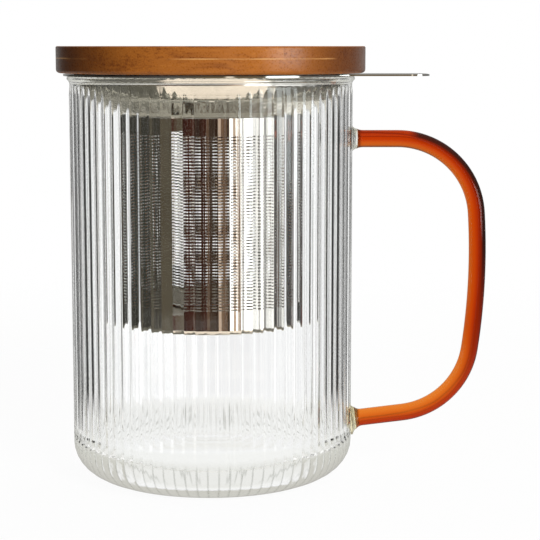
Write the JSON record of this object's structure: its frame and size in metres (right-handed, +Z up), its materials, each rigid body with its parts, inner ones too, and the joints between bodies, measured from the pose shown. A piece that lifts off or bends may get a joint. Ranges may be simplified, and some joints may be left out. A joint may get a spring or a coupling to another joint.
{
  "type": "lidded tea mug with infuser",
  "caption": "Reeded clear glass tea mug with an amber glass-rod handle, a hanging steel infuser with a lifting tab, and a flat bamboo lid that lifts off.",
  "frame": {"origin": "centre of the mug's base, on the surface it stands on", "axes": "+Z up along the mug's axis, +X towards the handle and the infuser's lifting tab, +Y across the handle"},
  "size_m": [0.1298, 0.0926, 0.1305],
  "materials": {
    "clear_glass": "clear borosilicate glass, fire-polished",
    "gather_glass": "clear glass, flame-worked",
    "amber_glass": "transparent amber glass, flame-worked",
    "infuser_steel": "polished stainless sheet",
    "bamboo": "carbonised bamboo, satin lacquer",
    "silicone": "translucent silicone"
  },
  "bodies": {
    "mug": {"mug_body": "clear_glass", "handle_upper_gather": "gather_glass", "handle_lower_gather": "gather_glass", "handle_rod": "amber_glass"},
    "infuser": {"infuser_collar": "infuser_steel", "basket_sleeve": "infuser_steel", "basket_base": "infuser_steel"},
    "lid": {"lid_top_ply": "bamboo", "lid_bottom_ply": "bamboo", "lid_plug": "bamboo", "lid_seal": "silicone"}
  },
  "joints": [
    {"name": "infuser_lift", "type": "slide", "parent": "mug", "child": "infuser", "axis": [0, 0, 1], "range_m": [0, 0.09]},
    {"name": "lid_lift", "type": "slide", "parent": "infuser", "child": "lid", "axis": [0, 0, 1], "range_m": [0, 0.03]}
  ]
}
